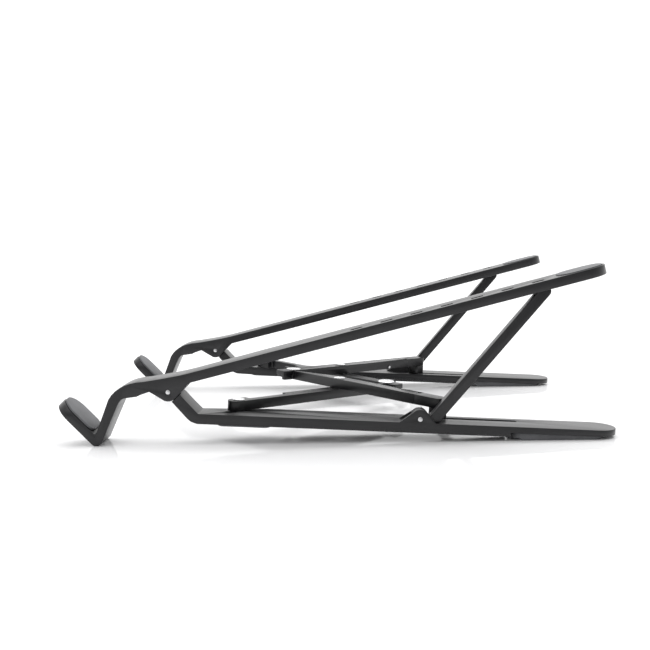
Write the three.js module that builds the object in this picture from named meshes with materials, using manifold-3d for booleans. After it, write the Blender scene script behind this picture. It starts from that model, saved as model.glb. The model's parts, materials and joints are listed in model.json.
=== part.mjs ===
// Foldable tablet stand: two moulded side frames joined by a four-link folding cross.
// Millimetres, +Z up. The tablet leans back from the two front hooks (-X) to the raised rear (+X).
// X positions in the dimensions are measured from where the hooks touch the surface.
import * as THREE from 'three';
import { mergeVertices } from 'three/addons/utils/BufferGeometryUtils.js';
import Module from 'manifold-3d';

const wasm = await Module();
wasm.setup();

// ---------------------------------------------------------------- driving dimensions
const OVERALL_WIDTH = 172; // outer face to outer face, unfolded
const ARM_WIDTH = 20; // every base arm and top arm, along Y
const HOOK_WIDTH = 17.6; // front part of the top arms, which is narrower on its inner side
const SLOPE_WIDTH = 14.6; // front part of the base arms, likewise
const TAPER_X = [46, 82]; // where the arms widen
const HOOK_TIP = { x: -19.4, z: 19.05 }; // foremost point of the hooks
const BASE_TIP_X = 249.6; // rearmost point of the base arms
const CENTRE_X = (HOOK_TIP.x + BASE_TIP_X) / 2; // middle of the stand, where the origin is

const GAP = 0.3; // gap between pieces that rest on or pass each other
const RUNNING_FIT = 0.06; // radial clearance of a hole round its pin
const ROUND_SEGMENTS = 20;
const CURVE_SEGMENTS = 7;
const SMALL_CORNER_SEGMENTS = 2;
const ALL_HEIGHT = 90; // taller than the stand, for cuts that go right through it

// Base arm: a long deck, lower at the rear, with a slope up to the front hinge eye
const DECK_TILT = THREE.MathUtils.degToRad(3.17);
const DECK_REF = { x: 150, z: 9.55 }; // a point on the deck's top face
const BASE_THICK = 4.9;
const BASE_REAR_THICK = 3; // over the rear foot
const REAR_STEP_X = 198;
const DECK_FRONT_X = 49.7; // where the deck's top face turns up into the slope
const HEEL_Z = 12.6; // where the slope's lower face starts to round into the underside
const HEEL_STEPS = [{ x: 1.6, z: 11.3 }, { x: 4.4 }]; // from that point to the underside

// Front hinge, between base arm and top arm
const HINGE = { x: 35.6, z: 25.8 };
const HINGE_EYE_R = 4.4;
const EAR_R = 4.5;
const EAR_THICK = 4;
const SLOPE_ANGLE = THREE.MathUtils.degToRad(49.3);
const SLOPE_ABOVE = 3.3; // slope's upper face from the hinge centre
const SLOPE_BELOW = 1.8; // slope's lower face from the hinge centre
const EAR_FRONT = { x: 26.6, z: 26.1 };
const EAR_REAR = { x: 46.5, z: 30.5 };
const HINGE_PIN_R = 1.1;

// Top arm: straight ramp, then a bend down into the hook
const ARM_SLOPE = THREE.MathUtils.degToRad(13.7);
const ARM_TOP = 6.3; // top face above the hinge centre, square to the arm
const ARM_THICK = 4.6;
const ARM_END = 215.4; // rear end from the hinge centre, along the arm
const HOOK_PAD_THICK = 1.2;
const HOOK_THICK = 5.6; // paddle with its pad
const HOOK_ANGLE = THREE.MathUtils.degToRad(46.3);
const HOOK_BOTTOM = { x: 0.1, radius: 3 }; // round bottom between paddle and riser
const CORNER_FILLET = 2.2; // in the inner corner between them
const TIP_CHAMFER = 0.8;
const RISER_TOP = { x: 6.8, z: 22.5 }; // rear end of the tablet-side face of the hook's riser
const RISER_ANGLE = THREE.MathUtils.degToRad(68.4);
const RISER_THICK = 4.9;
const CROOK = [[12.4, 22.6], [13, 23.1], [16.5, 23.3]]; // curve from the riser to the arm's underside
const CROOK_REAR = [[20.5, 23.8], [22.2, 24.6]]; // and on to the hinge ear
const BEND = [[37, 32.8], [24, 31], [11.5, 30.5]]; // curve from the ramp's top down to the riser

// Row of windows in the top arm, and the groove under it that the strut's head runs in
const WINDOW_COUNT = 7;
const WINDOW_FIRST = 94.3; // first window's centre from the hinge centre, along the arm
const WINDOW_PITCH = 14.75;
const WINDOW_LENGTH = 5.8;
const WINDOW_WIDTH = 3.9;
const WINDOW_CORNER_R = 0.8;
const GROOVE_DEPTH = 2.3;
const GROOVE_X = [86, 190];

// Strut and the lug that holds it
const STRUT_PIVOT = { x: 155.3, z: 11 };
const STRUT_ANGLE = THREE.MathUtils.degToRad(49);
const STRUT_THICK = 5.2;
const STRUT_OFFSET = 5.7; // bar's centre line behind the pivot
const STRUT_HEAD_R = 2.6;
const STRUT_HEEL = 12; // bar goes this far below the pivot, and is cut level over the deck
const STRUT_HUB_R = 4.3;
const STRUT_Y = [2.7, 8.9]; // from the outer face
const OUTER_LUG_R = 4.6;
const INNER_LUG_R = 3.9;
const LUG_FOOT_X = [145.5, 162.6];
const OUTER_LUG_Y = [0, 2.4];
const INNER_LUG_Y = [9.2, 10.2];
const LUG_PIN_R = 1.15;
const LUG_PIN_END = 9.7; // the pin stops inside the inner lug
const BLIND_GAP = 0.1;

// Folding cross: two levels of links over the decks, in the plane of the decks
const PIVOT_INSET = 14; // fixed pivots and sliders from the outer face
const ARM_HALF = 67.5; // outer pivot to crossing
const APEX_HALF = 36.5; // crossing to apex
const LINK_WIDTH = 7.8;
const LINK_THICK = 4.9;
const LEVEL_GAP = 0.25;
const FRONT_PIVOT_X = 67.3;
const FOLDED_SPREAD = THREE.MathUtils.degToRad(8); // links' angle to the arms when folded
const LAP_CLEARANCE = 0.25; // between the laps' side walls
const LAP_GAP = 0.2;
const TIP_LENGTH = 9.7; // links go this far past their apex
const TIP_CORNER_R = 1.2;
const EYE_LENGTH = 5.7; // lower links' round front end from the front pivot
const WAIST = { start: 7, end: 31, depth: 3.4 }; // recess in the lower links' inner edge
const SPREAD = Math.asin((OVERALL_WIDTH / 2 - PIVOT_INSET) / (ARM_HALF + APEX_HALF));
const CROSSING_PIN_R = 1.5;
const RIVET_HEAD_THICK = 0.4;
const RIVET_HEAD_R = 3;
const FRONT_APEX_HEAD_R = 4;
const REAR_APEX_HEAD = { radius: 4.75, dome: 0.7 };
const HEAD_LIFT = 0.05; // under a rivet's head
const SUNK_TAIL = { radius: 2.5, thick: 0.7 }; // in a pocket
const SUNK_TAIL_GAP = 0.1;
const APEX_TAIL = { radius: 2.6, thick: 0.4 }; // standing out under the lap
const APEX_TAIL_DROP = 0.5;

// Upper links' rear ends: a block plugged into the link, over a shoe on the slider post
const BLOCK_FRONT = 12; // block's front face from the slider axis
const BLOCK_WIDTH = 7.6;
const BLOCK_CORNER_R = 2.4;
const BLOCK_SEAM = 0.1;
const TONGUE = { length: 6, width: 2.4, height: 2.6, clearance: 0.15 };
const SIDE_PIN = { back: 29.4, above: 1.1, radius: 0.8, depth: 5, proud: 0.35 }; // from the slider axis
const SIDE_BOSS = { radius: 1.9, depth: 1, proud: 0.2 };
const SHOE_SIZE = 7;
const SHOE_CORNER_R = 1.4;
const POST_R = 1.6;
const POST_FLANGE_R = 2.8;
const SLOT_TRAVEL = 36.5;
const SLOT_ROOF = 1.5; // deck left above the flange channel
const SLOT_SIDE_GAP = 0.1;
const FLANGE_THICK = 1;
const POST_PLAY = 0.2; // above the flange and above the post
const BLOCK_ROOF = 1.2; // end block left above the post's hole
const TAIL_POCKET = { radius: 2.7, depth: 0.9 }; // room for a rivet's tail under a link or a deck

// Rubber parts
const FOOT_X = [198.6, 243.2];
const FRONT_PAD_X = [58.8, 83.8];
const FRONT_PAD_THICK = 0.7;
const FOOT_NOSE = [[0, 1], [3.6, 1], [4.4, 0]]; // underside at the foot's front, from FOOT_X[0]
const FOOT_HEEL = { length: 3, lift: 0.7 };
const FOOT_CORNER_R = 5;
const PAD_CORNER_R = 3;
const REAR_PAD_START = 192.5; // along the arm from the hinge centre
const REAR_PAD_THICK = 0.9;
const REAR_PAD_PROUD = 0.45;
const PAD_MARGIN = 1.2;
const HOOK_PAD_MARGIN = 0.6;
const HOOK_PAD_FOOT_R = 4;
const REAR_PAD_CORNER_R = 8;

// ---------------------------------------------------------------- materials
const plastic = (colour, roughness) => () =>
  new THREE.MeshStandardMaterial({ color: colour, roughness, metalness: 0 });
const metal = (colour, roughness) => () =>
  new THREE.MeshStandardMaterial({ color: colour, roughness, metalness: 1 });
const armPlastic = plastic(0x232326, 0.55);
const linkPlastic = plastic(0x17171a, 0.5);
const rubber = plastic(0x3a3b3e, 0.85);
const steel = metal(0xb9babd, 0.3);
const aluminium = metal(0xd9dadc, 0.25);

// ---------------------------------------------------------------- geometry helpers
const deckZ = (x) => DECK_REF.z - Math.tan(DECK_TILT) * (x - DECK_REF.x);

// Frames that turn a shape's own X-Z axes about Y: the deck's plane and the top arm's
function turnedFrame(origin, angle) {
  const frame = new THREE.Matrix4().makeRotationY(angle);
  return frame.setPosition(origin.x, 0, origin.z);
}
const deckFrame = turnedFrame(DECK_REF, DECK_TILT);
const armFrame = turnedFrame(HINGE, -ARM_SLOPE);

// A deck X coordinate for a stand X coordinate
const alongDeck = (x) => (x - DECK_REF.x) / Math.cos(DECK_TILT);

function armPoint(along, above) {
  const cos = Math.cos(ARM_SLOPE);
  const sin = Math.sin(ARM_SLOPE);
  return [HINGE.x + along * cos - above * sin, HINGE.z + along * sin + above * cos];
}

function toSolid(geometry) {
  const clean = geometry.clone();
  clean.deleteAttribute('normal');
  clean.deleteAttribute('uv');
  const merged = mergeVertices(clean, 1e-4);
  const mesh = new wasm.Mesh({
    numProp: 3,
    vertProperties: new Float32Array(merged.attributes.position.array),
    triVerts: new Uint32Array(merged.index.array),
  });
  return new wasm.Manifold(mesh);
}

function toGeometry(solid) {
  const mesh = solid.getMesh();
  const geometry = new THREE.BufferGeometry();
  geometry.setAttribute('position', new THREE.BufferAttribute(new Float32Array(mesh.vertProperties), 3));
  geometry.setIndex(new THREE.BufferAttribute(new Uint32Array(mesh.triVerts), 1));
  const flat = geometry.toNonIndexed();
  flat.computeVertexNormals();
  return flat;
}

function build(base, { joined = [], cuts = [], kept = null }) {
  let solid = toSolid(base);
  for (const piece of joined) solid = solid.add(toSolid(piece));
  for (const piece of cuts) solid = solid.subtract(toSolid(piece));
  if (kept) solid = solid.intersect(toSolid(kept));
  return toGeometry(solid);
}

function polygon(points) {
  return new THREE.Shape(points.map(([x, y]) => new THREE.Vector2(x, y)));
}

// A side outline in X-Z, given depth along Y
function sideways(shape, y0, y1) {
  const geometry = new THREE.ExtrudeGeometry(shape, {
    depth: y1 - y0,
    bevelEnabled: false,
    curveSegments: CURVE_SEGMENTS,
  });
  return geometry.rotateX(Math.PI / 2).translate(0, y1, 0);
}

// A plan outline in X-Y, given height along Z
function upright(shape, z0, z1, curveSegments = CURVE_SEGMENTS) {
  const geometry = new THREE.ExtrudeGeometry(shape, {
    depth: z1 - z0,
    bevelEnabled: false,
    curveSegments,
  });
  return geometry.translate(0, 0, z0);
}

function block(x0, x1, y0, y1, z0, z1) {
  const geometry = new THREE.BoxGeometry(x1 - x0, y1 - y0, z1 - z0);
  return geometry.translate((x0 + x1) / 2, (y0 + y1) / 2, (z0 + z1) / 2);
}

function rodAcross(radius, y0, y1, centre) {
  const geometry = new THREE.CylinderGeometry(radius, radius, y1 - y0, ROUND_SEGMENTS);
  return geometry.translate(centre.x, (y0 + y1) / 2, centre.z);
}

function rodUp(radius, z0, z1, x, y) {
  const geometry = new THREE.CylinderGeometry(radius, radius, z1 - z0, ROUND_SEGMENTS);
  return geometry.rotateX(Math.PI / 2).translate(x, y, (z0 + z1) / 2);
}

// Plan outline x0..x1 by y0..y1, with the corner radius at its x0 end and, if it differs, at its x1 end
function roundedPlan(x0, x1, y0, y1, radius, endRadius = radius) {
  const shape = new THREE.Shape();
  shape.moveTo(x0 + radius, y0);
  shape.lineTo(x1 - endRadius, y0);
  shape.absarc(x1 - endRadius, y0 + endRadius, endRadius, -Math.PI / 2, 0, false);
  shape.lineTo(x1, y1 - endRadius);
  shape.absarc(x1 - endRadius, y1 - endRadius, endRadius, 0, Math.PI / 2, false);
  shape.lineTo(x0 + radius, y1);
  shape.absarc(x0 + radius, y1 - radius, radius, Math.PI / 2, Math.PI, false);
  shape.lineTo(x0, y0 + radius);
  shape.absarc(x0 + radius, y0 + radius, radius, Math.PI, Math.PI * 1.5, false);
  return shape;
}

// What lies outside a half-round end of an arm, to cut its two corners away
function endCorners(endX, width, z0, z1) {
  const radius = width / 2;
  const beyond = 2;
  const shape = new THREE.Shape();
  shape.moveTo(endX - radius, -beyond);
  shape.lineTo(endX + beyond, -beyond);
  shape.lineTo(endX + beyond, width + beyond);
  shape.lineTo(endX - radius, width + beyond);
  shape.lineTo(endX - radius, width);
  shape.absarc(endX - radius, radius, radius, Math.PI / 2, -Math.PI / 2, true);
  return upright(shape, z0, z1);
}

// What the taper takes off the inner side of an arm's front part, to leave it frontWidth wide
function taperCut(frontWidth) {
  const beyond = 5;
  const plan = polygon([
    [HOOK_TIP.x - beyond, frontWidth],
    [TAPER_X[0], frontWidth],
    [TAPER_X[1], ARM_WIDTH],
    [TAPER_X[1], ARM_WIDTH + beyond],
    [HOOK_TIP.x - beyond, ARM_WIDTH + beyond],
  ]);
  return upright(plan, -beyond, ALL_HEIGHT);
}

// Rivet or headed pin along Z: list of [radius, z] steps from the bottom up
function turned(steps) {
  const profile = [new THREE.Vector2(0, steps[0][1])];
  for (const [radius, z] of steps) profile.push(new THREE.Vector2(radius, z));
  profile.push(new THREE.Vector2(0, steps.at(-1)[1]));
  return new THREE.LatheGeometry(profile, ROUND_SEGMENTS).rotateX(Math.PI / 2);
}

function mirrored(geometry) {
  const copy = (geometry.index ? geometry.toNonIndexed() : geometry.clone()).scale(1, -1, 1);
  const position = copy.attributes.position;
  for (let i = 0; i < position.count; i += 3) {
    const second = new THREE.Vector3().fromBufferAttribute(position, i + 1);
    const third = new THREE.Vector3().fromBufferAttribute(position, i + 2);
    position.setXYZ(i + 1, third.x, third.y, third.z);
    position.setXYZ(i + 2, second.x, second.y, second.z);
  }
  copy.deleteAttribute('normal');
  copy.computeVertexNormals();
  return copy;
}

// ---------------------------------------------------------------- base arm
// The hinge ear's outline hangs from the top arm; grown by a margin it also cuts the base arm clear
function earShape(margin) {
  const radius = EAR_R + margin;
  const front = EAR_FRONT;
  const rear = { x: EAR_REAR.x + margin, z: EAR_REAR.z };
  const tangent = (point, side) => {
    const dx = HINGE.x - point.x;
    const dz = HINGE.z - point.z;
    const turn = Math.asin(radius / Math.hypot(dx, dz));
    return Math.atan2(dz, dx) - side * turn - side * Math.PI / 2;
  };
  const startAngle = tangent(front, 1);
  const endAngle = tangent(rear, -1) - 2 * Math.PI;
  const shape = new THREE.Shape();
  shape.moveTo(...armPoint(-6, ARM_TOP - 1));
  shape.lineTo(front.x, front.z);
  shape.absarc(HINGE.x, HINGE.z, radius, startAngle, endAngle, false);
  shape.lineTo(rear.x, rear.z);
  shape.lineTo(...armPoint(10, ARM_TOP - 1));
  return shape;
}

function baseProfile() {
  const down = [Math.cos(SLOPE_ANGLE), -Math.sin(SLOPE_ANGLE)];
  const out = [Math.sin(SLOPE_ANGLE), Math.cos(SLOPE_ANGLE)];
  const upper = [HINGE.x + SLOPE_ABOVE * out[0], HINGE.z + SLOPE_ABOVE * out[1]];
  const lower = [HINGE.x - SLOPE_BELOW * out[0], HINGE.z - SLOPE_BELOW * out[1]];
  const slopeX = (start, height) => start[0] + (start[1] - height) * (down[0] / -down[1]);
  const underside = (x) => deckZ(x) - BASE_THICK;
  const heelX = slopeX(lower, HEEL_Z);
  const [middle, end] = HEEL_STEPS;
  return polygon([
    lower,
    [heelX, HEEL_Z],
    [heelX + middle.x, middle.z],
    [heelX + end.x, underside(heelX + end.x)],
    [REAR_STEP_X, underside(REAR_STEP_X)],
    [REAR_STEP_X, deckZ(REAR_STEP_X) - BASE_REAR_THICK],
    [BASE_TIP_X, deckZ(BASE_TIP_X) - BASE_REAR_THICK],
    [BASE_TIP_X, deckZ(BASE_TIP_X)],
    [DECK_FRONT_X, deckZ(DECK_FRONT_X)],
    upper,
  ]);
}

function lugShape(radius) {
  const [frontX, rearX] = LUG_FOOT_X;
  const sunk = 1;
  const shape = new THREE.Shape();
  shape.moveTo(frontX, deckZ(frontX) - sunk);
  shape.lineTo(frontX, deckZ(frontX));
  shape.absarc(STRUT_PIVOT.x, STRUT_PIVOT.z, radius, Math.PI * 0.68, Math.PI * 0.21, true);
  shape.lineTo(rearX, deckZ(rearX));
  shape.lineTo(rearX, deckZ(rearX) - sunk);
  return shape;
}

function baseArm() {
  const slotFront = sliderX() - POST_R - GAP;
  const slotRear = slotFront + SLOT_TRAVEL + 2 * (POST_R + GAP);
  const through = 8;
  const earY = HOOK_WIDTH - EAR_THICK;
  const slot = roundedPlan(
    alongDeck(slotFront), alongDeck(slotRear),
    PIVOT_INSET - POST_R - SLOT_SIDE_GAP, PIVOT_INSET + POST_R + SLOT_SIDE_GAP, POST_R,
  );
  const channelGrow = POST_FLANGE_R - POST_R;
  const channel = roundedPlan(
    alongDeck(slotFront - channelGrow), alongDeck(slotRear + channelGrow),
    PIVOT_INSET - POST_FLANGE_R - GAP, PIVOT_INSET + POST_FLANGE_R + GAP, POST_FLANGE_R,
  );
  const frontPivot = alongDeck(FRONT_PIVOT_X);
  const earClear = earShape(GAP);
  const [hubNear, hubFar] = [OUTER_LUG_Y[1], INNER_LUG_Y[0]];
  return build(sideways(baseProfile(), 0, ARM_WIDTH), {
    joined: [
      rodAcross(HINGE_EYE_R, EAR_THICK + GAP, earY - GAP, HINGE),
      sideways(lugShape(OUTER_LUG_R), ...OUTER_LUG_Y),
      sideways(lugShape(INNER_LUG_R), ...INNER_LUG_Y),
    ],
    cuts: [
      sideways(earClear, -1, EAR_THICK + GAP),
      sideways(earClear, earY - GAP, ARM_WIDTH + 1),
      taperCut(SLOPE_WIDTH),
      rodAcross(HINGE_PIN_R + RUNNING_FIT, -1, ARM_WIDTH + 1, HINGE),
      rodAcross(STRUT_HUB_R + GAP, hubNear, hubFar, STRUT_PIVOT),
      rodAcross(LUG_PIN_R + RUNNING_FIT, -1, LUG_PIN_END + BLIND_GAP, STRUT_PIVOT),
      endCorners(alongDeck(BASE_TIP_X), ARM_WIDTH, -through, through).applyMatrix4(deckFrame),
      upright(slot, -through, through).applyMatrix4(deckFrame),
      upright(channel, -through, -SLOT_ROOF).applyMatrix4(deckFrame),
      rodUp(CROSSING_PIN_R + RUNNING_FIT, -through, through, frontPivot, PIVOT_INSET).applyMatrix4(deckFrame),
      rodUp(TAIL_POCKET.radius, -through, TAIL_POCKET.depth - BASE_THICK, frontPivot, PIVOT_INSET)
        .applyMatrix4(deckFrame),
    ],
  });
}

// ---------------------------------------------------------------- rubber feet of the base arm
function rearFoot() {
  const [frontX, rearX] = FOOT_X;
  const top = (x) => deckZ(x) - BASE_REAR_THICK - GAP / 2;
  const profile = polygon([
    ...FOOT_NOSE.map(([x, z]) => [frontX + x, z]),
    [rearX - FOOT_HEEL.length, 0],
    [rearX, FOOT_HEEL.lift],
    [rearX, top(rearX)],
    [frontX, top(frontX)],
  ]);
  const plan = roundedPlan(
    alongDeck(frontX), alongDeck(rearX), PAD_MARGIN, ARM_WIDTH - PAD_MARGIN, FOOT_CORNER_R,
  );
  return build(sideways(profile, 0, ARM_WIDTH), {
    kept: upright(plan, -ARM_WIDTH, 0).applyMatrix4(deckFrame),
  });
}

function frontPad() {
  const [frontX, rearX] = FRONT_PAD_X;
  const plan = roundedPlan(
    alongDeck(frontX), alongDeck(rearX), PAD_MARGIN, SLOPE_WIDTH, PAD_CORNER_R,
  );
  const top = -BASE_THICK - GAP / 2;
  return upright(plan, top - FRONT_PAD_THICK, top).applyMatrix4(deckFrame);
}

// ---------------------------------------------------------------- top arm with its hook
function hookLine() {
  const along = new THREE.Vector2(Math.cos(HOOK_ANGLE), -Math.sin(HOOK_ANGLE));
  const out = new THREE.Vector2(Math.sin(HOOK_ANGLE), Math.cos(HOOK_ANGLE));
  return { along, out };
}

// Paddle's underside runs from the tip to the round bottom of the hook
function hookPoint(fromTip, above) {
  const { along, out } = hookLine();
  const tip = new THREE.Vector2(HOOK_TIP.x, HOOK_TIP.z);
  return tip.addScaledVector(along, fromTip).addScaledVector(out, above).toArray();
}

// Where the paddle's plastic top meets the tablet-side face of the riser
function hookCorner() {
  const { along } = hookLine();
  const top = HOOK_THICK - HOOK_PAD_THICK;
  const [tipX, tipZ] = hookPoint(0, top);
  const offset = (RISER_TOP.x - tipX) * Math.sin(RISER_ANGLE) - (RISER_TOP.z - tipZ) * Math.cos(RISER_ANGLE);
  const slide = along.x * Math.sin(RISER_ANGLE) - along.y * Math.cos(RISER_ANGLE);
  return { point: hookPoint(offset / slide, top), fromTip: offset / slide };
}

function topArmProfile() {
  const { out } = hookLine();
  const plasticThick = HOOK_THICK - HOOK_PAD_THICK;
  const riserOut = Math.PI / 2 - RISER_ANGLE;
  const riserBack = (height) => {
    const level = RISER_TOP.x + RISER_THICK / Math.sin(RISER_ANGLE);
    return [level - (RISER_TOP.z - height) / Math.tan(RISER_ANGLE), height];
  };
  const [bendRear, bendMiddle, bendFront] = BEND;
  const startAngle = Math.atan2(-out.y, -out.x);
  const shape = new THREE.Shape();
  shape.moveTo(...hookPoint(0, plasticThick - TIP_CHAMFER));
  shape.lineTo(...hookPoint(0, 0));
  shape.absarc(HOOK_BOTTOM.x, HOOK_BOTTOM.radius, HOOK_BOTTOM.radius, startAngle, -riserOut, false);
  shape.lineTo(...riserBack(RISER_TOP.z - RISER_THICK));
  shape.bezierCurveTo(...CROOK.flat());
  for (const point of CROOK_REAR) shape.lineTo(...point);
  shape.lineTo(EAR_FRONT.x, EAR_FRONT.z);
  shape.lineTo(...armPoint(EAR_REAR.x - HINGE.x, ARM_TOP - ARM_THICK));
  shape.lineTo(...armPoint(ARM_END, ARM_TOP - ARM_THICK));
  shape.lineTo(...armPoint(ARM_END, ARM_TOP));
  shape.lineTo(...armPoint(EAR_REAR.x - HINGE.x, ARM_TOP));
  shape.quadraticCurveTo(...bendRear, ...bendMiddle);
  shape.quadraticCurveTo(...bendFront, RISER_TOP.x, RISER_TOP.z);
  const { point: corner, fromTip } = hookCorner();
  const [upX, upZ] = [Math.cos(RISER_ANGLE), Math.sin(RISER_ANGLE)];
  shape.lineTo(corner[0] + CORNER_FILLET * upX, corner[1] + CORNER_FILLET * upZ);
  shape.quadraticCurveTo(...corner, ...hookPoint(fromTip - CORNER_FILLET, plasticThick));
  shape.lineTo(...hookPoint(TIP_CHAMFER, plasticThick));
  return shape;
}

// The paddle's own frame: X towards its tip, Z square to its pad face
function paddleFrame() {
  const [x, z] = hookPoint(0, 0);
  return turnedFrame({ x, z }, HOOK_ANGLE);
}

function topArm() {
  const underside = ARM_TOP - ARM_THICK;
  const grooveTop = underside + GROOVE_DEPTH;
  const windowY = (STRUT_Y[0] + STRUT_Y[1]) / 2;
  const windows = [];
  for (let i = 0; i < WINDOW_COUNT; i += 1) {
    const centre = WINDOW_FIRST + i * WINDOW_PITCH;
    const plan = roundedPlan(
      centre - WINDOW_LENGTH / 2, centre + WINDOW_LENGTH / 2,
      windowY - WINDOW_WIDTH / 2, windowY + WINDOW_WIDTH / 2, WINDOW_CORNER_R,
    );
    windows.push(upright(plan, 0, ARM_TOP + 1, SMALL_CORNER_SEGMENTS).applyMatrix4(armFrame));
  }
  const groove = roundedPlan(...GROOVE_X, STRUT_Y[0] - GAP, STRUT_Y[1] + GAP, WINDOW_CORNER_R);
  const padSeat = roundedPlan(
    REAR_PAD_START, ARM_END - PAD_MARGIN, PAD_MARGIN, ARM_WIDTH - PAD_MARGIN, REAR_PAD_CORNER_R,
  );
  const seatFloor = ARM_TOP - REAR_PAD_THICK + REAR_PAD_PROUD;
  return build(sideways(topArmProfile(), 0, ARM_WIDTH), {
    joined: [
      sideways(earShape(0), 0, EAR_THICK),
      sideways(earShape(0), HOOK_WIDTH - EAR_THICK, ARM_WIDTH),
    ],
    cuts: [
      rodAcross(HINGE_EYE_R + GAP, EAR_THICK, HOOK_WIDTH - EAR_THICK, HINGE),
      rodAcross(HINGE_PIN_R + RUNNING_FIT, -1, ARM_WIDTH + 1, HINGE),
      endCorners(ARM_END, ARM_WIDTH, 0, 2 * ARM_TOP).applyMatrix4(armFrame),
      taperCut(HOOK_WIDTH),
      hookCorners(),
      upright(groove, -4, grooveTop).applyMatrix4(armFrame),
      ...windows,
      upright(padSeat, seatFloor, ARM_TOP + 2).applyMatrix4(armFrame),
    ],
  });
}

// The hook's tip is round in the plane of its pad
function hookCorners() {
  const corners = endCorners(0, HOOK_WIDTH, -HOOK_THICK, 2 * HOOK_THICK);
  corners.rotateZ(Math.PI).translate(0, HOOK_WIDTH, 0);
  return corners.applyMatrix4(paddleFrame());
}

function hookPad() {
  const bottom = HOOK_THICK - HOOK_PAD_THICK + GAP / 2;
  const foot = hookCorner().fromTip - CORNER_FILLET - GAP;
  const plan = roundedPlan(
    HOOK_PAD_MARGIN, foot, HOOK_PAD_MARGIN, HOOK_WIDTH - HOOK_PAD_MARGIN,
    HOOK_WIDTH / 2 - HOOK_PAD_MARGIN, HOOK_PAD_FOOT_R,
  );
  return upright(plan, bottom, HOOK_THICK).applyMatrix4(paddleFrame());
}

function rearPad() {
  const margin = PAD_MARGIN + GAP / 2;
  const plan = roundedPlan(
    REAR_PAD_START + GAP / 2, ARM_END - margin, margin, ARM_WIDTH - margin, REAR_PAD_CORNER_R - GAP / 2,
  );
  const bottom = ARM_TOP - REAR_PAD_THICK + REAR_PAD_PROUD + GAP / 2;
  return upright(plan, bottom, ARM_TOP + REAR_PAD_PROUD).applyMatrix4(armFrame);
}

// ---------------------------------------------------------------- strut
// Its own frame: X along the bar from the pivot, Z square to it
function strut() {
  const frame = turnedFrame(STRUT_PIVOT, -STRUT_ANGLE);
  const low = -STRUT_OFFSET - STRUT_THICK / 2;
  const high = low + STRUT_THICK;
  const reach = strutReach();
  const bar = new THREE.Shape();
  bar.moveTo(-STRUT_HEEL, low);
  bar.lineTo(reach - STRUT_HEAD_R, low);
  bar.absarc(reach - STRUT_HEAD_R, -STRUT_OFFSET, STRUT_HEAD_R, -Math.PI / 2, Math.PI / 2, false);
  bar.lineTo(-STRUT_HEEL, high);
  const below = block(-BASE_TIP_X, BASE_TIP_X, -1, ARM_WIDTH, -ALL_HEIGHT, GAP / 2).applyMatrix4(deckFrame);
  const heel = build(sideways(bar, ...STRUT_Y).applyMatrix4(frame), { cuts: [below] });
  return build(heel, {
    joined: [rodAcross(STRUT_HUB_R, ...STRUT_Y, STRUT_PIVOT)],
    cuts: [rodAcross(LUG_PIN_R + RUNNING_FIT, 0, ARM_WIDTH, STRUT_PIVOT)],
  });
}

// How far the strut's tip reaches for its round head to stop just short of the groove's roof
function strutReach() {
  const roof = ARM_TOP - ARM_THICK + GROOVE_DEPTH - GAP - STRUT_HEAD_R;
  const dx = STRUT_PIVOT.x - HINGE.x;
  const dz = STRUT_PIVOT.z - HINGE.z;
  const pivotAbove = -dx * Math.sin(ARM_SLOPE) + dz * Math.cos(ARM_SLOPE);
  const lean = STRUT_ANGLE - ARM_SLOPE;
  const toHead = (roof - pivotAbove + STRUT_OFFSET * Math.cos(lean)) / Math.sin(lean);
  return toHead + STRUT_HEAD_R;
}

// ---------------------------------------------------------------- folding cross, in the deck's plane
const LOWER_BOTTOM = LEVEL_GAP;
const LOWER_TOP = LOWER_BOTTOM + LINK_THICK;
const UPPER_BOTTOM = LOWER_TOP + LEVEL_GAP;
const UPPER_TOP = UPPER_BOTTOM + LINK_THICK;
const LINK_LENGTH = ARM_HALF + APEX_HALF;

function sliderX() {
  return FRONT_PIVOT_X + 2 * ARM_HALF * Math.cos(SPREAD);
}

// Half lap at an apex, at x = apexX on a link whose body runs on in the given direction. The other link
// lies across this one unfolded and nearly along it, on its +Y side, when folded.
function lapCut(apexX, direction, bottom, keepsUpper) {
  const half = LINK_WIDTH / 2;
  const slope = Math.tan(2 * FOLDED_SPREAD);
  const offset = half / Math.cos(2 * FOLDED_SPREAD) + LAP_CLEARANCE;
  const across = half / Math.sin(2 * SPREAD) + LAP_CLEARANCE;
  const tip = TIP_LENGTH + 1;
  const side = LINK_WIDTH;
  const outline = [
    [-tip, -side],
    [across, -side],
    [across, slope * across - offset],
    [(side + offset) / slope, side],
    [-across, side],
    [-across, offset - slope * across],
    [-tip, offset - slope * tip],
  ];
  const plan = polygon(outline.map(([along, y]) => [apexX + direction * along, y]));
  const middle = bottom + LINK_THICK / 2;
  const z0 = keepsUpper ? bottom - 1 : middle - LAP_GAP / 2;
  const z1 = keepsUpper ? middle + LAP_GAP / 2 : bottom + LINK_THICK + 1;
  return upright(plan, z0, z1);
}

// Lower link: from the front pivot (x = 0) through the crossing to the rear apex
function lowerLink(keepsUpper) {
  const half = LINK_WIDTH / 2;
  const hole = CROSSING_PIN_R + RUNNING_FIT;
  const plan = roundedPlan(-EYE_LENGTH, LINK_LENGTH + TIP_LENGTH, -half, half, half, TIP_CORNER_R);
  const waist = roundedPlan(WAIST.start, WAIST.end, half - WAIST.depth, half + WAIST.depth, 1);
  const holes = [0, ARM_HALF, LINK_LENGTH].map((x) => rodUp(hole, -1, LOWER_TOP + 1, x, 0));
  return build(upright(plan, LOWER_BOTTOM, LOWER_TOP), {
    cuts: [
      upright(waist, -1, LOWER_TOP + 1),
      lapCut(LINK_LENGTH, -1, LOWER_BOTTOM, keepsUpper),
      rodUp(TAIL_POCKET.radius, -1, LOWER_BOTTOM + TAIL_POCKET.depth, ARM_HALF, 0),
      ...holes,
    ],
  });
}

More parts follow.
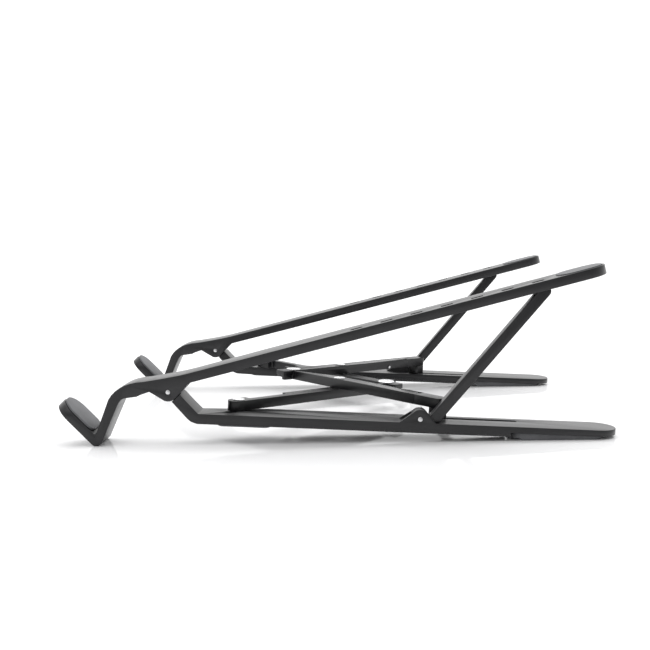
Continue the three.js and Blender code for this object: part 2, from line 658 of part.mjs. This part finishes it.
// Upper link: from the front apex (x = 0) through the crossing to the seam with its end block.
// Its inner face carries a small pin in a boss.
function upperLink(keepsUpper) {
  const half = LINK_WIDTH / 2;
  const hole = CROSSING_PIN_R + RUNNING_FIT;
  const endX = LINK_LENGTH - BLOCK_FRONT - BLOCK_SEAM;
  const plan = roundedPlan(-TIP_LENGTH, endX, -half, half, TIP_CORNER_R, BLOCK_SEAM);
  const holes = [0, APEX_HALF].map((x) => rodUp(hole, UPPER_BOTTOM - 1, UPPER_TOP + 1, x, 0));
  return build(upright(plan, UPPER_BOTTOM, UPPER_TOP), {
    joined: [rodAcross(SIDE_BOSS.radius, half - SIDE_BOSS.depth, half + SIDE_BOSS.proud, sidePinCentre())],
    cuts: [
      tongue(endX + 1, TONGUE.clearance),
      lapCut(0, 1, UPPER_BOTTOM, keepsUpper),
      rodAcross(SIDE_PIN.radius + RUNNING_FIT, half - SIDE_PIN.depth, half + 1, sidePinCentre()),
      ...holes,
    ],
  });
}

// End block's tongue up to the given x, grown by a clearance for the socket it fits
function tongue(rearX, clearance) {
  const middle = (UPPER_BOTTOM + UPPER_TOP) / 2;
  const frontX = LINK_LENGTH - BLOCK_FRONT - TONGUE.length - clearance;
  const halfWidth = TONGUE.width / 2 + clearance;
  const halfHeight = TONGUE.height / 2 + clearance;
  return block(frontX, rearX, -halfWidth, halfWidth, middle - halfHeight, middle + halfHeight);
}

function endBlock() {
  const half = BLOCK_WIDTH / 2;
  const frontX = LINK_LENGTH - BLOCK_FRONT;
  const plan = roundedPlan(frontX, LINK_LENGTH + half, -half, half, BLOCK_CORNER_R);
  const squareFront = block(frontX, LINK_LENGTH, -half, half, UPPER_BOTTOM, UPPER_TOP);
  return build(upright(plan, UPPER_BOTTOM, UPPER_TOP), {
    joined: [squareFront, tongue(frontX + 1, 0)],
    cuts: [rodUp(POST_R + RUNNING_FIT, 0, UPPER_TOP - BLOCK_ROOF, LINK_LENGTH, 0)],
  });
}

function sidePinCentre() {
  return { x: LINK_LENGTH - SIDE_PIN.back, z: UPPER_BOTTOM + SIDE_PIN.above };
}

function sidePin() {
  const half = LINK_WIDTH / 2;
  return rodAcross(SIDE_PIN.radius, half - SIDE_PIN.depth, half + SIDE_PIN.proud, sidePinCentre());
}

function sliderShoe() {
  const half = SHOE_SIZE / 2;
  const plan = roundedPlan(LINK_LENGTH - half, LINK_LENGTH + half, -half, half, SHOE_CORNER_R);
  return build(upright(plan, LOWER_BOTTOM, LOWER_TOP), {
    cuts: [rodUp(POST_R + RUNNING_FIT, -1, LOWER_TOP + 1, LINK_LENGTH, 0)],
  });
}

function sliderPost() {
  const flangeTop = -SLOT_ROOF - POST_PLAY;
  const flangeBottom = flangeTop - FLANGE_THICK;
  const top = UPPER_TOP - BLOCK_ROOF - POST_PLAY;
  return turned([
    [POST_FLANGE_R, flangeBottom], [POST_FLANGE_R, flangeTop],
    [POST_R, flangeTop], [POST_R, top],
  ]).translate(LINK_LENGTH, 0, 0);
}

// Rivet through two link levels: its tail from the bottom up, its shank, then its flat or domed head
function rivet(bottom, tail, top, headR, dome = 0) {
  const tailTop = bottom + tail.thick;
  const headTop = top + RIVET_HEAD_THICK;
  const steps = [
    [tail.radius, bottom], [tail.radius, tailTop],
    [CROSSING_PIN_R, tailTop], [CROSSING_PIN_R, top + HEAD_LIFT],
    [headR, top + HEAD_LIFT], [headR, headTop],
  ];
  if (dome > 0) {
    steps.push([headR * 0.8, headTop + dome * 0.7]);
    steps.push([headR * 0.35, headTop + dome]);
  }
  return turned(steps);
}

// ---------------------------------------------------------------- assembly
const stand = new THREE.Group();
const frames = new THREE.Group(); // both side frames, moved so that the origin is under the middle
frames.position.x = -CENTRE_X;
stand.add(frames);
const deck = new THREE.Group(); // the plane of the decks, which the folding cross lies in
deck.position.set(DECK_REF.x, 0, DECK_REF.z);
deck.rotation.y = DECK_TILT;
frames.add(deck);

function addTo(group, name, geometry, material) {
  const mesh = new THREE.Mesh(geometry, material());
  mesh.name = name;
  group.add(mesh);
  return mesh;
}

// Pieces of one side frame, made for the right side (-Y), with Y from the outer face
const sidePieces = {
  base_arm: [baseArm(), armPlastic],
  rear_foot: [rearFoot(), rubber],
  front_pad: [frontPad(), rubber],
  top_arm: [topArm(), armPlastic],
  hook_pad: [hookPad(), rubber],
  rear_pad: [rearPad(), rubber],
  hinge_pin: [rodAcross(HINGE_PIN_R, 0, HOOK_WIDTH, HINGE), steel],
  strut: [strut(), armPlastic],
  strut_pin: [rodAcross(LUG_PIN_R, 0, LUG_PIN_END, STRUT_PIVOT), steel],
};
const outward = OVERALL_WIDTH / 2;
for (const [name, [geometry, material]] of Object.entries(sidePieces)) {
  const right = geometry.clone().translate(0, -outward, 0);
  addTo(frames, `right_${name}`, right, material);
  addTo(frames, `left_${name}`, mirrored(right), material);
}

// Folding cross: side +1 is the right-hand frame's links, -1 the left-hand frame's, which are mirrored
const pivotY = outward - PIVOT_INSET;
const frontU = alongDeck(FRONT_PIVOT_X);
const crossingU = frontU + ARM_HALF * Math.cos(SPREAD);
const crossingY = pivotY - ARM_HALF * Math.sin(SPREAD);
const frontApexU = crossingU - APEX_HALF * Math.cos(SPREAD);
const rearApexU = crossingU + APEX_HALF * Math.cos(SPREAD);

function placed(geometry, x, y, angle) {
  return geometry.clone().rotateZ(angle).translate(x, y, 0);
}

for (const side of ['right', 'left']) {
  const onSide = (geometry) => (side === 'right' ? geometry : mirrored(geometry));
  const keepsUpper = side === 'left';
  const add = (name, geometry, material) => addTo(deck, `${side}_${name}`, onSide(geometry), material);
  add('lower_link', placed(lowerLink(keepsUpper), frontU, -pivotY, SPREAD), linkPlastic);
  add('upper_link', placed(upperLink(keepsUpper), frontApexU, 0, -SPREAD), linkPlastic);
  add('end_block', placed(endBlock(), frontApexU, 0, -SPREAD), linkPlastic);
  add('side_pin', placed(sidePin(), frontApexU, 0, -SPREAD), steel);
  add('slider_shoe', placed(sliderShoe(), frontApexU, 0, -SPREAD), linkPlastic);
  add('slider_post', placed(sliderPost(), frontApexU, 0, -SPREAD), steel);
  const frontRivet = rivet(SUNK_TAIL_GAP - BASE_THICK, SUNK_TAIL, LOWER_TOP, RIVET_HEAD_R);
  add('front_rivet', placed(frontRivet, frontU, -pivotY, 0), aluminium);
  const crossRivet = rivet(LOWER_BOTTOM + SUNK_TAIL_GAP, SUNK_TAIL, UPPER_TOP, RIVET_HEAD_R);
  add('crossing_rivet', placed(crossRivet, crossingU, -crossingY, 0), aluminium);
}
const frontApex = rivet(UPPER_BOTTOM - APEX_TAIL_DROP, APEX_TAIL, UPPER_TOP, FRONT_APEX_HEAD_R);
const rearApex = rivet(
  LOWER_BOTTOM - APEX_TAIL_DROP, APEX_TAIL, LOWER_TOP, REAR_APEX_HEAD.radius, REAR_APEX_HEAD.dome,
);
addTo(deck, 'front_apex_rivet', placed(frontApex, frontApexU, 0, 0), aluminium);
addTo(deck, 'rear_apex_rivet', placed(rearApex, rearApexU, 0, 0), aluminium);

export default stand;
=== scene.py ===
"""Looks for the folding tablet stand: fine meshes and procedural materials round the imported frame."""
import json
import math

import bmesh
import bpy
from mathutils import Matrix, Vector


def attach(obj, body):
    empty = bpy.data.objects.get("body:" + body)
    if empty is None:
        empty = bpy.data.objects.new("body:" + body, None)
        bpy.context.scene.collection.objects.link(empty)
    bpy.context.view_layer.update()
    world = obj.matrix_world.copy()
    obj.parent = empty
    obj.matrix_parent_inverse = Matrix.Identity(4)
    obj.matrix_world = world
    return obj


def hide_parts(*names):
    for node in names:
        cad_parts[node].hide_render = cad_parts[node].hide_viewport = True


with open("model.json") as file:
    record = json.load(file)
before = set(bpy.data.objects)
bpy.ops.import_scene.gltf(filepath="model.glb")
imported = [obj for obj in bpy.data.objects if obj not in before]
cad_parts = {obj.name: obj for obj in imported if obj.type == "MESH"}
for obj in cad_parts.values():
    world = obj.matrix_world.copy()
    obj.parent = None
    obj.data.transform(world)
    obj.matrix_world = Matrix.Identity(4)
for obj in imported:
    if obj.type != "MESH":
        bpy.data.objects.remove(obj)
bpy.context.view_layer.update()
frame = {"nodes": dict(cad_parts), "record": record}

MM = 0.001

# Camera: a long-ish lens, low at the stand's right-hand side
CAMERA_PLACE = Vector((0.0083, -0.5137, 0.0999))
CAMERA_YAW = math.radians(1.66)
CAMERA_PITCH = math.radians(90 - 5.76)
CAMERA_ROLL = math.radians(-1.11)
CAMERA_LENS = 50.7
SENSOR_WIDTH = 36

# Soft boxes: place, point aimed at, size and power
OVERHEAD_BOX = ((0.05, 0.35, 1.3), (0, 0, 0), (1.8, 1.6), 12)
FRONT_BOX = ((-0.9, -0.9, 0.9), (0, 0, 0.03), (0.9, 0.9), 2)
FLOOR_SIZE = 6

# World strength, by how far a direction points along Y
WORLD_SPREAD = {"From Min": -0.7, "From Max": 0.5, "To Min": 0.45, "To Max": 1.35}

# Edge rounding of the moulded and turned pieces
ARM_EDGE = 0.22 * MM
LINK_EDGE = 0.12 * MM
PAD_EDGE = 0.15 * MM
METAL_EDGE = 0.12 * MM
EDGE_SEGMENTS = 3
SHARP_ANGLE = math.radians(28)
WELD = 0.002 * MM
FLAT_ANGLE = math.radians(0.4)


# ---------------------------------------------------------------- scene
def make_camera():
    data = bpy.data.cameras.new("camera")
    data.sensor_width = SENSOR_WIDTH
    data.lens = CAMERA_LENS
    data.clip_start = 0.01
    camera = bpy.data.objects.new("camera", data)
    turn = Matrix.Rotation(CAMERA_YAW, 4, "Z") @ Matrix.Rotation(CAMERA_PITCH, 4, "X")
    camera.matrix_world = Matrix.Translation(CAMERA_PLACE) @ turn @ Matrix.Rotation(CAMERA_ROLL, 4, "Z")
    bpy.context.scene.collection.objects.link(camera)
    bpy.context.scene.camera = camera


def area_light(name, place, aim, size, power):
    data = bpy.data.lights.new(name, "AREA")
    data.shape = "RECTANGLE"
    data.size, data.size_y = size
    data.energy = power
    light = bpy.data.objects.new(name, data)
    light.location = place
    light.rotation_mode = "QUATERNION"
    light.rotation_quaternion = (Vector(aim) - Vector(place)).to_track_quat("-Z", "Y")
    bpy.context.scene.collection.objects.link(light)


def make_lights():
    area_light("overhead_softbox", *OVERHEAD_BOX)
    area_light("front_softbox", *FRONT_BOX)


def make_world():
    """A white studio, brightest behind the stand and dimmer on the camera's side."""
    world = bpy.data.worlds.new("studio")
    world.use_nodes = True
    tree = world.node_tree
    background = tree.nodes["Background"]
    background.inputs["Color"].default_value = (1, 1, 1, 1)
    direction = tree.nodes.new("ShaderNodeTexCoord")
    split = tree.nodes.new("ShaderNodeSeparateXYZ")
    tree.links.new(direction.outputs["Generated"], split.inputs["Vector"])
    spread = tree.nodes.new("ShaderNodeMapRange")
    for socket, number in WORLD_SPREAD.items():
        spread.inputs[socket].default_value = number
    tree.links.new(split.outputs["Y"], spread.inputs["Value"])
    tree.links.new(spread.outputs["Result"], background.inputs["Strength"])
    bpy.context.scene.world = world
    view = bpy.context.scene.view_settings
    view.view_transform = "Standard"
    view.look = "None"


# ---------------------------------------------------------------- node materials
class Shader:
    """A principled material with short calls for its procedural nodes."""

    def __init__(self, name):
        self.material = bpy.data.materials.new(name)
        self.material.use_nodes = True
        self.tree = self.material.node_tree
        self.surface = self.tree.nodes["Principled BSDF"]
        self.place = self.tree.nodes.new("ShaderNodeTexCoord").outputs["Object"]

    def set(self, **values):
        for socket, value in values.items():
            self.surface.inputs[socket.replace("_", " ")].default_value = value

    def link(self, output, socket):
        self.tree.links.new(output, socket)

    def noise(self, per_mm, detail=2, roughness=0.5, stretch=(1, 1, 1)):
        """Noise of so many waves to the millimetre."""
        mapping = self.tree.nodes.new("ShaderNodeMapping")
        mapping.inputs["Scale"].default_value = stretch
        self.link(self.place, mapping.inputs["Vector"])
        node = self.tree.nodes.new("ShaderNodeTexNoise")
        node.inputs["Scale"].default_value = per_mm / MM
        node.inputs["Detail"].default_value = detail
        node.inputs["Roughness"].default_value = roughness
        self.link(mapping.outputs["Vector"], node.inputs["Vector"])
        return node.outputs["Fac"]

    def spread(self, value, from_low, from_high, to_low, to_high):
        """The value carried from one range of numbers to another."""
        node = self.tree.nodes.new("ShaderNodeMapRange")
        limits = {"From Min": from_low, "From Max": from_high, "To Min": to_low, "To Max": to_high}
        for socket, number in limits.items():
            node.inputs[socket].default_value = number
        self.link(value, node.inputs["Value"])
        return node.outputs["Result"]

    def combine(self, operation, first, second):
        node = self.tree.nodes.new("ShaderNodeMath")
        node.operation = operation
        for socket, value in zip(node.inputs, (first, second)):
            if isinstance(value, (int, float)):
                socket.default_value = value
            else:
                self.link(value, socket)
        return node.outputs["Value"]

    def colours(self, value, first, second):
        node = self.tree.nodes.new("ShaderNodeMix")
        node.data_type = "RGBA"
        node.inputs["A"].default_value = (*first, 1)
        node.inputs["B"].default_value = (*second, 1)
        self.link(value, node.inputs["Factor"])
        return node.outputs["Result"]

    # Convex edges found by pointiness. They get lower roughness for polish and a lighter base colour as
    # a painted highlight.
    def worn_edges_and_painted_sheen(self, low=0.52, high=0.6):
        geometry = self.tree.nodes.new("ShaderNodeNewGeometry")
        return self.spread(geometry.outputs["Pointiness"], low, high, 0, 1)

    def bump(self, height, depth_mm, strength=1.0):
        node = self.tree.nodes.new("ShaderNodeBump")
        node.inputs["Strength"].default_value = strength
        node.inputs["Distance"].default_value = depth_mm * MM
        self.link(height, node.inputs["Height"])
        self.link(node.outputs["Normal"], self.surface.inputs["Normal"])


def moulded_plastic(name, dark, light, roughness, grain_mm):
    """Spark-textured plastic: a fine grain, faint cloudiness, and slightly polished edges whose colour
    is lightened as a painted highlight.
    """
    shader = Shader(name)
    clouds = shader.noise(0.05, detail=3)
    grain = shader.noise(1 / grain_mm, detail=3, roughness=0.6)
    edges = shader.worn_edges_and_painted_sheen()
    cloudy = shader.spread(clouds, 0.35, 0.65, 0, 0.7)
    # Painted highlight: the convex-edge mask lightens the base colour, on top of the random clouding.
    tone = shader.combine("ADD", cloudy, shader.combine("MULTIPLY", edges, 0.5))
    shader.link(shader.colours(tone, dark, light), shader.surface.inputs["Base Color"])
    grain_rough = shader.spread(grain, 0.3, 0.7, roughness - 0.05, roughness + 0.05)
    edge_polish = shader.combine("MULTIPLY", edges, -0.1)
    shader.link(shader.combine("ADD", grain_rough, edge_polish), shader.surface.inputs["Roughness"])
    shader.bump(grain, 0.012, 0.6)
    return shader.material


def rubber(name, dark, light):
    """Satin silicone rubber with a fine grain."""
    shader = Shader(name)
    grain = shader.noise(3.0, detail=4, roughness=0.65)
    clouds = shader.noise(0.12, detail=2)
    cloudy = shader.spread(clouds, 0.3, 0.7, 0, 0.6)
    speckled = shader.spread(grain, 0.4, 0.7, 0, 0.4)
    tone = shader.combine("ADD", cloudy, speckled)
    shader.link(shader.colours(tone, dark, light), shader.surface.inputs["Base Color"])
    shader.link(shader.spread(grain, 0.3, 0.7, 0.5, 0.62), shader.surface.inputs["Roughness"])
    shader.set(Specular_IOR_Level=0.5)
    shader.bump(grain, 0.03, 0.7)
    return shader.material


def bright_metal(name, dark, light, roughness, stretch):
    """Turned or drawn metal with faint tool lines."""
    shader = Shader(name)
    lines = shader.noise(2.5, detail=3, roughness=0.7, stretch=stretch)
    shader.link(shader.colours(lines, dark, light), shader.surface.inputs["Base Color"])
    rough = shader.spread(lines, 0.3, 0.7, roughness - 0.06, roughness + 0.08)
    shader.link(rough, shader.surface.inputs["Roughness"])
    shader.set(Metallic=1.0)
    shader.bump(lines, 0.01, 0.4)
    return shader.material


def table_top():
    """Glossy white acrylic: bright, with soft reflections of the stand."""
    shader = Shader("table_top")
    haze = shader.noise(0.004, detail=1)
    white = shader.colours(haze, (0.93, 0.93, 0.94), (0.95, 0.95, 0.955))
    shader.link(white, shader.surface.inputs["Base Color"])
    shader.set(Roughness=0.06, Specular_IOR_Level=0.06)
    return shader.material


# ---------------------------------------------------------------- meshes
def link_object(name, mesh):
    piece = bpy.data.objects.new(name, mesh)
    bpy.context.scene.collection.objects.link(piece)
    return piece


def fine_copy(node, edge):
    """A CAD piece with its flats joined up, smooth curves and rounded edges."""
    mesh = frame["nodes"][node].data.copy()
    mesh.materials.clear()
    bm = bmesh.new()
    bm.from_mesh(mesh)
    bmesh.ops.remove_doubles(bm, verts=bm.verts, dist=WELD)
    bmesh.ops.dissolve_limit(bm, angle_limit=FLAT_ANGLE, verts=bm.verts, edges=bm.edges)
    for face in bm.faces:
        face.smooth = True
    bm.to_mesh(mesh)
    bm.free()
    piece = link_object(node + "_fine", mesh)
    bevel = piece.modifiers.new("edge", "BEVEL")
    bevel.width = edge
    bevel.segments = EDGE_SEGMENTS
    bevel.limit_method = "ANGLE"
    bevel.angle_limit = SHARP_ANGLE
    bevel.use_clamp_overlap = False
    bevel.harden_normals = True
    return piece


def body_of_node(node):
    bodies = frame["record"]["behaviour"]["bodies"]
    return next(body for body, nodes in bodies.items() if node in nodes)


def slot_of_node(node):
    return next(row["material_slot"] for row in frame["record"]["subparts"] if row["node"] == node)


def dress(node, edge, material):
    piece = fine_copy(node, edge)
    piece.data.materials.append(material)
    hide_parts(node)
    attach(piece, body_of_node(node))
    return piece


def make_floor(material):
    mesh = bpy.data.meshes.new("floor")
    bm = bmesh.new()
    bmesh.ops.create_grid(bm, x_segments=2, y_segments=2, size=FLOOR_SIZE)
    bm.to_mesh(mesh)
    bm.free()
    floor = link_object("floor", mesh)
    floor.data.materials.append(material)


# ---------------------------------------------------------------- build
make_camera()
make_lights()
make_world()
make_floor(table_top())

ARM_COLOURS = ((0.009, 0.009, 0.01), (0.016, 0.016, 0.018))
LINK_COLOURS = ((0.003, 0.003, 0.004), (0.007, 0.007, 0.008))
RUBBER_COLOURS = ((0.1, 0.102, 0.108), (0.17, 0.172, 0.18))
STEEL_COLOURS = ((0.55, 0.55, 0.56), (0.75, 0.75, 0.76))
ALUMINIUM_COLOURS = ((0.8, 0.8, 0.81), (0.92, 0.92, 0.93))
TOOL_LINES = (1, 1, 0.1)  # noise drawn out along Z

MATERIALS = {
    "arm_plastic": moulded_plastic("arm_plastic", *ARM_COLOURS, roughness=0.34, grain_mm=0.35),
    "link_plastic": moulded_plastic("link_plastic", *LINK_COLOURS, roughness=0.34, grain_mm=0.4),
    "rubber": rubber("rubber", *RUBBER_COLOURS),
    "steel": bright_metal("steel", *STEEL_COLOURS, roughness=0.25, stretch=TOOL_LINES),
    "rivet_aluminium": bright_metal(
        "rivet_aluminium", *ALUMINIUM_COLOURS, roughness=0.28, stretch=TOOL_LINES,
    ),
}
EDGES = {
    "arm_plastic": ARM_EDGE,
    "link_plastic": LINK_EDGE,
    "rubber": PAD_EDGE,
    "steel": METAL_EDGE,
    "rivet_aluminium": METAL_EDGE,
}

for node_name in frame["nodes"]:
    slot_name = slot_of_node(node_name)
    dress(node_name, EDGES[slot_name], MATERIALS[slot_name])
